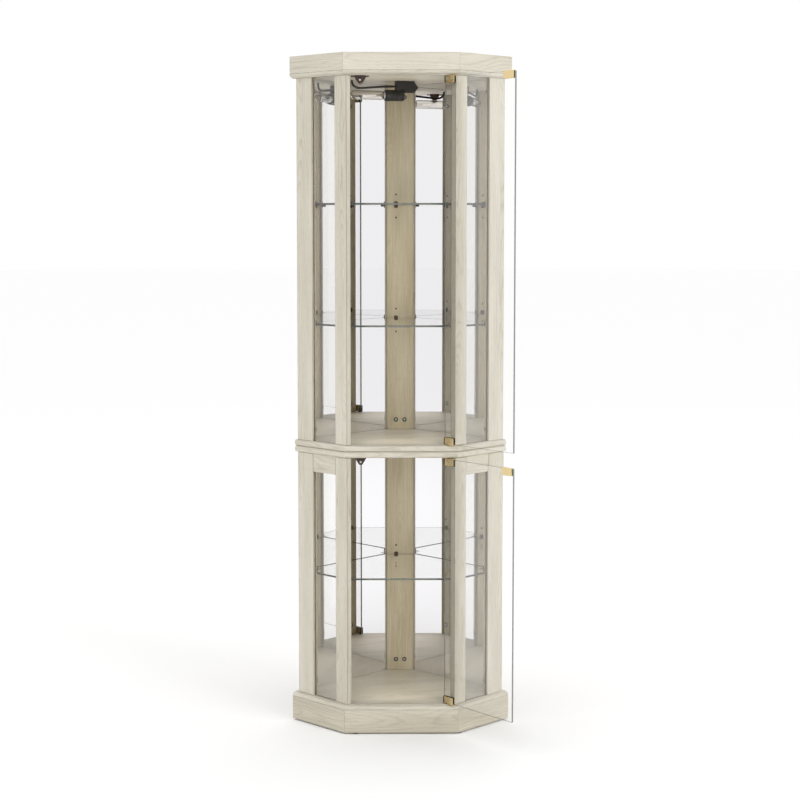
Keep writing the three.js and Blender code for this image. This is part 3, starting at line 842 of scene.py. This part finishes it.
for case in ("lower", "upper"):
    for side, hand in (("left", -1), ("right", 1)):
        node = f"{case}_mirror_{side}"
        outward = Vector((hand, 1, 0)).normalized()
        whole = cad_solid(node)
        reaches = [vertex.co.dot(outward) for vertex in whole.verts]
        split = min(reaches) + SILVERED_SHARE * (max(reaches) - min(reaches))
        glass, backing = whole, whole.copy()
        for layer, behind in ((glass, False), (backing, True)):
            cut = bmesh.ops.bisect_plane(
                layer,
                geom=layer.verts[:] + layer.edges[:] + layer.faces[:],
                plane_co=outward * split,
                plane_no=outward,
                clear_outer=not behind,
                clear_inner=behind,
            )
            rim = [part for part in cut["geom_cut"] if isinstance(part, bmesh.types.BMEdge)]
            bmesh.ops.edgeloop_fill(layer, edges=rim)
            bmesh.ops.recalc_face_normals(layer, faces=layer.faces)
            ease(layer, LAYER_EDGE, 1)
        for face in glass.faces:
            face.smooth = False
            face.material_index = 0 if abs(face.normal.dot(outward)) > 0.9 else 1
        fit_piece(glass, f"{node}_glass", "root", "mirror", [silvered, glass_edge], node)
        fit_piece(backing, f"{node}_backing", "root", "mirror", [hardboard])
        low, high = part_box(node)
        pins = bmesh.new()
        rows = round((high.z - low.z) / HEAD_SPACING)
        along = Vector((-hand, 1, 0)).normalized()
        middle = Vector(((low.x + high.x) / 2, (low.y + high.y) / 2, 0))
        back = outward * (max(reaches) - middle.dot(outward))
        half = (high.x - low.x) / ROOT2 - HEAD_INSET
        for row in range(rows):
            height = low.z + (row + 0.5) * (high.z - low.z) / rows
            for edge in (-half, half):
                stamp(pins, pin_head, facing(middle + back + along * edge + UP * height, outward))
        fit_piece(pins, f"{node}_pins", "root", "steel", [steel])

# Shelves: 5 mm glass with ground edges, each on five pegs. A peg is moulded in brown plastic: a
# pin in the post, a plate against the post, and a ledge with a soft pad under the glass.
PLATE_HALF = 5.5 * MM
PLATE_UP = 9 * MM
PLATE_THICK = 1.9 * MM
PLATE_CORNER = 3 * MM
LEDGE_HALF = PLATE_HALF - 0.8 * MM
LEDGE_OUT = 11 * MM
LEDGE_THICK = 2.6 * MM
PAD_HALF = 3.4 * MM
PEG_RADIUS = 2.35 * MM
PEG_LONG = 8 * MM
SHELF_HALF = 2.5 * MM
LEDGE_TOP = -SHELF_HALF - 0.4 * MM
HERE = Matrix.Identity(4)

brown_plastic = mottled_finish(
    "brown_plastic",
    tones=((0.052, 0.027, 0.016), (0.078, 0.04, 0.024)),
    gloss=(0.3, 0.48),
    scales=(240, 2000),
    depth=0.02 * MM,
)
peg = block(-PLATE_HALF, PLATE_HALF, -PLATE_UP, PLATE_UP, 0, PLATE_THICK)
bmesh.ops.bevel(
    peg,
    geom=[edge for edge in peg.edges if abs(edge.verts[0].co.z - edge.verts[1].co.z) > MM],
    offset=PLATE_CORNER,
    offset_type="OFFSET",
    affect="EDGES",
    segments=4,
    profile=0.5,
    material=-1,
)
ease(peg, 0.4 * MM)
ledge_bottom = LEDGE_TOP - LEDGE_THICK
ledge = block(-LEDGE_HALF, LEDGE_HALF, ledge_bottom, LEDGE_TOP, PLATE_THICK - 0.2 * MM, LEDGE_OUT)
stamp(peg, ease(ledge, 0.7 * MM), HERE)
shank = [(0, -PEG_LONG), (PEG_RADIUS - 0.45 * MM, -PEG_LONG), (PEG_RADIUS, -PEG_LONG + 0.6 * MM)]
shank += [(PEG_RADIUS, 0.1 * MM), (0, 0.1 * MM)]
stamp(peg, turned_part(shank, 20), Matrix.Translation((0, -PEG_DROP, 0)))
pad_top = -SHELF_HALF - 0.02 * MM
pad = block(-PAD_HALF, PAD_HALF, LEDGE_TOP - 0.1 * MM, pad_top, 3.2 * MM, LEDGE_OUT - 1.2 * MM)
stamp(peg, ease(pad, 0.2 * MM, 1), HERE)

for case in ("lower", "upper"):
    for shelf in SHELVES[case]:
        glass_panel(shelf, "root", [clear_glass, glass_edge])
        pegs = bmesh.new()
        for face in post_faces(case).values():
            stamp(pegs, peg, facing(on_face(face, face[2], shelf_level(shelf)), face[1]))
        fit_piece(pegs, f"{shelf}_pegs", "root", "brown_plastic", [brown_plastic])

# Doors: a bare sheet of 5 mm glass, held at both hinge corners by a folded brass clamp with a
# black liner and two set screws. A brass plate on the free top corner meets the latch.
DOOR_TURN = math.radians(130)
BEYOND_PIVOT = 8 * MM
CLAMP_LONG = 36 * MM
CLAMP_DEEP = 19 * MM
CLAMP_HALF = 5.5 * MM
BRASS_WALL = 1.5 * MM
LINER_SHOWS = 0.8 * MM
END_BLACK = 3.2 * MM
GLASS_HALF = 2.5 * MM
DOOR_WIDE = 257 * MM
CLAMP_RISE = 2.3 * MM
STRIKE_LONG = 37 * MM
STRIKE_DEEP = 20 * MM
STRIKE_HALF = 4 * MM
STRIKE_FROM_EDGE = 4 * MM
STRIKE_RISE = 1.9 * MM
STRIKE_WALL = 1.15 * MM
PIN_RADIUS = 2.5 * MM
PIN_BEYOND = 8.6 * MM
SCREW_RADIUS = 2.4 * MM

brass = mottled_finish(
    "brass",
    tones=((0.86, 0.70, 0.40), (0.72, 0.56, 0.28)),
    gloss=(0.14, 0.30),
    scales=(90, 260),
    depth=0.01 * MM,
    stretch=(1, 1, 8),
    Metallic=1.0,
)


def drawn_out(outline, reach):
    """A solid drawn straight out from a flat outline."""
    shape = bmesh.new()
    end = shape.faces.new([shape.verts.new(point) for point in outline])
    grown = bmesh.ops.extrude_face_region(shape, geom=[end])["geom"]
    moved = [part for part in grown if isinstance(part, bmesh.types.BMVert)]
    bmesh.ops.translate(shape, verts=moved, vec=reach)
    bmesh.ops.recalc_face_normals(shape, faces=shape.faces)
    return shape


def channel(x_from, x_to, outer, inner, mouth, web, back):
    """A sheet folded into a U about the glass: walls between outer and inner, open at the mouth."""
    outline = [(-outer, back), (outer, back), (outer, mouth), (inner, mouth), (inner, web)]
    outline += [(-inner, web), (-inner, mouth), (-outer, mouth)]
    return drawn_out([(x_from, y, z) for y, z in outline], (x_to - x_from, 0, 0))


screw_side = [(0, 0), (SCREW_RADIUS, 0), (SCREW_RADIUS, 0.3 * MM)]
screw_side += [(SCREW_RADIUS - 0.3 * MM, 0.5 * MM), (SCREW_RADIUS / 2, 0.5 * MM)]
set_screw = turned_part(screw_side + [(1.1 * MM, -0.6 * MM), (0, -0.6 * MM)], 24)
pin_long = MM + PIN_BEYOND
pin_side = [(0, 0), (PIN_RADIUS, 0), (PIN_RADIUS, pin_long - 0.4 * MM)]
pin_side += [(PIN_RADIUS - 0.4 * MM, pin_long), (0, pin_long)]
pivot_pin = turned_part(pin_side, 24)
slit = GLASS_HALF + 0.15 * MM
inner = CLAMP_HALF - BRASS_WALL
start = BEYOND_PIVOT - CLAMP_LONG
brass_end = BEYOND_PIVOT - END_BLACK
hinge = Matrix.Translation((pivot.x, pivot.y, 0)) @ Matrix.Rotation(DOOR_TURN, 4, "Z")

for door in ("lower", "upper"):
    body = f"{door}_door"
    glass_panel(f"{door}_door_glass", body, [clear_glass, door_edge])
    glass_low, glass_high = (corner.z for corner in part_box(f"{door}_door_glass"))
    for end, edge, up in (("top", glass_high, 1), ("bottom", glass_low, -1)):
        node = f"{door}_door_{end}_clamp"
        back = edge + up * CLAMP_RISE
        mouth = back - up * CLAMP_DEEP
        web = back - up * BRASS_WALL
        clamp = ease(channel(start, brass_end, CLAMP_HALF, inner, mouth, web, back), 0.5 * MM)
        upended = Matrix.Rotation(0 if up > 0 else math.pi, 4, "X")
        stamp(clamp, pivot_pin, Matrix.Translation((0, 0, back - up * MM)) @ upended)
        for along in (0.28, 0.72):
            screw_at = (start + along * CLAMP_LONG, CLAMP_HALF, (back + mouth) / 2 + up * MM)
            stamp(clamp, set_screw, facing(screw_at, (0, 1, 0)), 1)
        bmesh.ops.transform(clamp, matrix=hinge, verts=clamp.verts)
        fit_piece(clamp, f"{node}_brass", body, "brass", [brass, zinc], node)

        rest = edge + up * 0.1 * MM
        lip = mouth - up * LINER_SHOWS
        liner_back = web + up * 0.05 * MM
        liner_outer = inner - 0.03 * MM
        liner = channel(start - LINER_SHOWS, brass_end, liner_outer, slit, lip, rest, liner_back)
        ease(liner, 0.3 * MM, 1)
        plug_from, plug_to = brass_end + 0.05 * MM, BEYOND_PIVOT + LINER_SHOWS
        plug_outer = CLAMP_HALF - 0.2 * MM
        plug = channel(plug_from, plug_to, plug_outer, slit, mouth, rest, back - up * 0.2 * MM)
        stamp(liner, ease(plug, 0.4 * MM), HERE)
        bmesh.ops.transform(liner, matrix=hinge, verts=liner.verts)
        fit_piece(liner, f"{node}_liner", body, "black_plastic", [black_plastic])

    strike_from = BEYOND_PIVOT - DOOR_WIDE + STRIKE_FROM_EDGE
    strike_to = strike_from + STRIKE_LONG
    back = glass_high + STRIKE_RISE
    walls = STRIKE_HALF - STRIKE_WALL
    mouth, web = back - STRIKE_DEEP, back - BRASS_WALL
    strike = ease(channel(strike_from, strike_to, STRIKE_HALF, walls, mouth, web, back), 0.45 * MM)
    bmesh.ops.transform(strike, matrix=hinge, verts=strike.verts)
    fit_piece(strike, f"{door}_door_strike_brass", body, "brass", [brass], f"{door}_door_strike")

# Pivot bushes: flanged nylon sleeves pressed into the boards, in which the clamps' pins turn.
SLEEVE_INNER = PIN_RADIUS + 0.35 * MM
SLEEVE_OUTER = PIVOT_BORE - 0.05 * MM
SLEEVE_LONG = 7.6 * MM
FLANGE_RADIUS = 6.2 * MM
wall = [(SLEEVE_INNER, 0.5 * MM), (FLANGE_RADIUS - 0.2 * MM, 0.5 * MM), (FLANGE_RADIUS, 0.3 * MM)]
wall += [(FLANGE_RADIUS, -0.1 * MM), (SLEEVE_OUTER, -0.1 * MM), (SLEEVE_OUTER, -SLEEVE_LONG)]
wall += [(SLEEVE_INNER, -SLEEVE_LONG), (SLEEVE_INNER, 0.5 * MM)]
sleeve = turned_part(wall)
bushes = bmesh.new()
for node in ("base_board", "waist_upper_board"):
    stamp(bushes, sleeve, Matrix.Translation(at_pivot(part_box(node)[1].z)))
for node in ("waist_lower_board", "ceiling_board"):
    place = Matrix.Translation(at_pivot(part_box(node)[0].z))
    stamp(bushes, sleeve, place @ Matrix.Rotation(math.pi, 4, "X"))
fit_piece(bushes, "pivot_bushes", "root", "black_plastic", [black_plastic])

# Touch latches: a brown moulded housing screwed under the ceiling by its two ears, with a sprung
# plunger that carries a magnet.
LATCH_LIP = 3 * MM
NOSE_RADIUS = 7 * MM
NOSE_DROP = 14 * MM
NOSE_FROM = 200
NOSE_STEP = 17.5
NOSE_STEPS = 8
PLUNGER_DROP = 12 * MM
PLUNGER_BORE = 4.6 * MM
BORE_DEPTH = 37 * MM
EAR_THICK = 2.2 * MM
EAR_OUT = 9 * MM
EAR_HALF = 6 * MM
ROD_RADIUS = 4 * MM
TIP_RADIUS = 2.5 * MM
MAGNET_THICK = 4 * MM
dome = [(0, 0), (3 * MM, 0), (2.9 * MM, 0.8 * MM), (2 * MM, 1.5 * MM), (0.8 * MM, 1.7 * MM)]
wood_screw = turned_part(dome + [(0.7 * MM, 0.9 * MM), (0, 0.9 * MM)], 24)
for case in ("lower", "upper"):
    node = f"{case}_latch_housing"
    low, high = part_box(node)
    middle = (low + high) / 2
    half = (high.x - low.x) / 2
    outline = [(-half, 0), (-half, -LATCH_LIP)]
    for step in range(NOSE_STEPS + 1):
        angle = math.radians(NOSE_FROM + NOSE_STEP * step)
        outline.append((NOSE_RADIUS * math.cos(angle), -NOSE_DROP + NOSE_RADIUS * math.sin(angle)))
    outline += [(half, -LATCH_LIP), (half, 0)]
    corners = [(middle.x + x, low.y, high.z + z) for x, z in outline]
    housing = ease(drawn_out(corners, (0, high.y - low.y, 0)), 0.6 * MM)
    mouth = Vector((middle.x, low.y, high.z - PLUNGER_DROP))
    drill(housing, [(mouth, (0, -1, 0))], PLUNGER_BORE, BORE_DEPTH, [brown_plastic])
    for hand in (-1, 1):
        edge = low.x if hand < 0 else high.x
        near, far = sorted((edge - hand * MM, edge + hand * EAR_OUT))
        ear_low, ear_high = high.z - EAR_THICK, high.z - 0.02 * MM
        ear = block(near, far, middle.y - EAR_HALF, middle.y + EAR_HALF, ear_low, ear_high)
        stamp(housing, ease(ear, 0.8 * MM, 3), HERE)
        under_ear = Matrix.Translation((edge + hand * 5 * MM, middle.y, ear_low))
        stamp(housing, wood_screw, under_ear @ Matrix.Rotation(math.pi, 4, "X"), 1)
    fit_piece(housing, f"{node}_moulded", "root", "brown_plastic", [brown_plastic, zinc], node)

    node = f"{case}_latch_plunger"
    low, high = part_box(node)
    magnet = (high.z - low.z) / 2
    long = high.y - low.y
    side = [(0, 0), (TIP_RADIUS, 0), (magnet - 0.5 * MM, 0), (magnet, 0.5 * MM)]
    side += [(magnet, MAGNET_THICK - 0.4 * MM), (magnet - 0.4 * MM, MAGNET_THICK)]
    side += [(ROD_RADIUS, MAGNET_THICK), (ROD_RADIUS, long - 0.5 * MM)]
    side += [(ROD_RADIUS - 0.5 * MM, long), (0, long)]
    plunger = turned_part(side)
    for face in plunger.faces:
        middle = face.calc_center_median()
        face.material_index = 0 if middle.z < 0.2 * MM and middle.xy.length < TIP_RADIUS else 1
    tip = Matrix.Translation(((low.x + high.x) / 2, low.y, (low.z + high.z) / 2))
    place = tip @ Matrix.Rotation(-math.pi / 2, 4, "X")
    bmesh.ops.transform(plunger, matrix=place, verts=plunger.verts)
    fit_piece(plunger, f"{node}_turned", f"{case}_latch", "steel", [zinc, brown_plastic], node)

# Lamp: a clear tubular bulb screwed into a black socket, which a bracket holds up to the ceiling.
# It lies askew, and its lead runs over the bulb and up through the ceiling board.
bulb_lo, bulb_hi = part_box("lamp_bulb")
lamp_z = (bulb_lo.z + bulb_hi.z) / 2
BULB_RADIUS = (bulb_hi.z - bulb_lo.z) / 2
BULB_BASE = Vector((-42 * MM, front_y + 218 * MM, lamp_z))
BULB_TIP = Vector((-135 * MM, front_y + 188 * MM, lamp_z))
BULB_WALL = 0.7 * MM
GLASS_START = 4 * MM
bulb_axis = BULB_TIP - BULB_BASE
lamp_turn = bulb_axis.to_track_quat("Z", "X").to_matrix().to_4x4()
lamp_place = Matrix.Translation(BULB_BASE) @ lamp_turn


def bulb_side(radius, tip):
    """The bulb's side from the neck to a round tip, as radii and heights."""
    points = [(radius * 0.68, GLASS_START), (radius * 0.8, 6 * MM)]
    points += [(radius * 0.96, 9 * MM), (radius, 12 * MM)]
    for degrees in range(90, -1, -15):
        angle = math.radians(degrees)
        points.append((radius * math.sin(angle), tip - radius + radius * math.cos(angle)))
    return points


BULB_TINT = (0.96, 0.94, 0.90, 1)
BULB_RIM_PAINTED_SHADE = (0.26, 0.235, 0.20, 1)
lamp_glass = clear_finish("lamp_glass", Base_Color=BULB_TINT, IOR=1.5)
lamp_tree = lamp_glass.node_tree
# Towards the bulb's outline its tint darkens to a painted dark rim: painted shade for the dark edges that
# clear glass shows.
slant = add_node(lamp_tree, "ShaderNodeLayerWeight", {"Blend": 0.3}).outputs["Facing"]
tint = blend_colours(lamp_tree, slant, BULB_TINT, BULB_RIM_PAINTED_SHADE)
lamp_tree.links.new(tint, lamp_tree.nodes["Principled BSDF"].inputs["Base Color"])
outside = bulb_side(BULB_RADIUS, bulb_axis.length)
inside = bulb_side(BULB_RADIUS - BULB_WALL, bulb_axis.length - BULB_WALL)
bulb = turned_part(outside + inside[::-1] + [outside[0]], 40)
bmesh.ops.transform(bulb, matrix=lamp_place, verts=bulb.verts)
fit_piece(bulb, "lamp_bulb_glass", "root", "lamp_glass", [lamp_glass], "lamp_bulb")

# The bulb's cap is threaded sheet metal in a bright collar that grips the glass. Its filament hangs
# between two supports on a glass stem.
CAP_RADIUS = 8.4 * MM
CAP_END = -13.6 * MM
THREADS = 5
THREAD_PITCH = 2.6 * MM
COLLAR_RADIUS = 11.2 * MM
COLLAR_TOP = 5.2 * MM
side = [(0, CAP_END)]
for thread in range(THREADS):
    low = CAP_END + thread * THREAD_PITCH
    side += [(CAP_RADIUS - 0.7 * MM, low), (CAP_RADIUS, low + THREAD_PITCH / 2)]
side += [(CAP_RADIUS, 0.4 * MM), (COLLAR_RADIUS - 0.6 * MM, 0.4 * MM), (COLLAR_RADIUS, MM)]
side += [(COLLAR_RADIUS, COLLAR_TOP - 0.6 * MM), (COLLAR_RADIUS - 0.6 * MM, COLLAR_TOP)]
side += [(10 * MM, COLLAR_TOP), (9 * MM, 3.6 * MM), (0, 3.6 * MM)]
cap = turned_part(side, 36)
bmesh.ops.transform(cap, matrix=lamp_place, verts=cap.verts)
fit_piece(cap, "lamp_bulb_cap", "root", "steel", [zinc])


def wire(name, points, radius):
    """A thin steel wire in the bulb through points in the lamp's own axes, made a mesh."""
    curve = bpy.data.curves.new(name, "CURVE")
    curve.dimensions = "3D"
    curve.bevel_depth = radius
    curve.bevel_resolution = 3
    curve.use_fill_caps = True
    spline = curve.splines.new("POLY")
    spline.points.add(len(points) - 1)
    for target, point in zip(spline.points, points):
        target.co = (*(lamp_place @ Vector(point)), 1)
    holder = add_object(f"{name}_curve", curve)
    swept = holder.evaluated_get(bpy.context.evaluated_depsgraph_get())
    mesh = bpy.data.meshes.new_from_object(swept)
    bpy.data.objects.remove(holder)
    for polygon in mesh.polygons:
        polygon.use_smooth = True
    mesh.materials.clear()
    mesh.materials.append(steel)
    piece = add_object(name, mesh)
    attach(piece, "root")


NEAR_END = 46 * MM
FAR_END = 62 * MM
SUPPORT_APART = 5 * MM
COILS = 26
COIL_RADIUS = 0.7 * MM
STEPS = COILS * 8
for name, hand, end in (("front", -1, NEAR_END), ("back", 1, FAR_END)):
    out = hand * SUPPORT_APART
    support = [(hand * 2 * MM, 0, 8 * MM), (hand * 2.4 * MM, 0, 20 * MM)]
    wire(f"lamp_support_{name}", support + [(out, 0, end - 6 * MM), (out, 0, end)], 0.35 * MM)
coil = []
for step in range(STEPS + 1):
    share = step / STEPS
    angle = share * COILS * 2 * math.pi
    x = SUPPORT_APART * (2 * share - 1)
    z = NEAR_END + (FAR_END - NEAR_END) * share + COIL_RADIUS * math.sin(angle)
    coil.append((x, COIL_RADIUS * math.cos(angle), z))
wire("lamp_filament", coil, 0.12 * MM)
side = [(0, 5 * MM), (5 * MM, 5 * MM), (3.4 * MM, 9 * MM), (2.6 * MM, 16 * MM)]
stem = turned_part(side + [(2.2 * MM, 22 * MM), (1.6 * MM, 24 * MM), (0, 24.6 * MM)])
bmesh.ops.transform(stem, matrix=lamp_place, verts=stem.verts)
fit_piece(stem, "lamp_stem", "root", "lamp_glass", [lamp_glass])

# The socket is moulded with a ribbed barrel. The bracket is cut from black sheet, and the lead is
# round black flex.
SOCKET_RADIUS = 15 * MM
SOCKET_LONG = 52 * MM
MOUTH_RADIUS = 9.1 * MM
MOUTH_DEEP = 15.8 * MM
RIBS = 7
RIB_PITCH = 3.4 * MM
RIB_FOOT = SOCKET_RADIUS - 0.6 * MM
side = [(0, -MOUTH_DEEP), (MOUTH_RADIUS, -MOUTH_DEEP), (MOUTH_RADIUS, -0.8 * MM)]
side += [(MOUTH_RADIUS + 0.8 * MM, 0), (SOCKET_RADIUS - 1.5 * MM, 0)]
side += [(SOCKET_RADIUS - 0.4 * MM, -0.5 * MM), (SOCKET_RADIUS, -1.6 * MM), (SOCKET_RADIUS, -13.5 * MM)]
for rib in range(RIBS):
    top = -14 * MM - rib * RIB_PITCH
    side += [(SOCKET_RADIUS, top), (SOCKET_RADIUS, top - 1.9 * MM)]
    side += [(RIB_FOOT, top - 2.2 * MM), (RIB_FOOT, top - 3.1 * MM)]
side += [(SOCKET_RADIUS, -SOCKET_LONG + 4 * MM), (SOCKET_RADIUS - MM, -SOCKET_LONG + 1.2 * MM)]
side += [(SOCKET_RADIUS - 3 * MM, -SOCKET_LONG), (0, -SOCKET_LONG)]
socket = turned_part(side, 48)
bmesh.ops.transform(socket, matrix=lamp_place, verts=socket.verts)


def black_piece(shape, name, node):
    """One of the lamp's black plastic pieces."""
    return fit_piece(shape, name, "root", "black_plastic", [black_plastic], node)


moulded = black_piece(socket, "lamp_socket_moulded", "lamp_socket")
moulded.data.set_sharp_from_angle(angle=SHARP_EDGE)
black_piece(ease(cad_solid("lamp_bracket"), MM, 3), "lamp_bracket_bent", "lamp_bracket")
lead_shape = cad_solid("lamp_lead")
for face in lead_shape.faces:
    face.smooth = len(face.verts) <= 4
lead = black_piece(lead_shape, "lamp_lead_flex", "lamp_lead")
smooth_lead = lead.modifiers.new("smooth", "SUBSURF")
smooth_lead.levels = smooth_lead.render_levels = 1

# Glides: nylon domes on steel nails, driven into the plinth's lower edge.
glide_plastic = mottled_finish(
    "glide_plastic",
    tones=((0.022, 0.019, 0.016), (0.035, 0.03, 0.026)),
    gloss=(0.4, 0.6),
    scales=(200, 1600),
    depth=0.04 * MM,
)
for corner in ("front_left", "front_right", "side_left", "side_right", "rear"):
    node = f"glide_{corner}"
    low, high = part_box(node)
    radius = (high.x - low.x) / 2
    top = high.z - low.z - 0.1 * MM
    dome = [(0, 0), (radius * 0.55, 0.1 * MM), (radius * 0.82, 0.7 * MM)]
    dome += [(radius * 0.96, 1.8 * MM), (radius, 2.8 * MM), (radius, top), (0, top)]
    glide = turned_part(dome)
    foot = ((low.x + high.x) / 2, (low.y + high.y) / 2, low.z)
    bmesh.ops.translate(glide, verts=glide.verts, vec=foot)
    fit_piece(glide, f"{node}_nylon", "root", "glide_plastic", [glide_plastic], node)
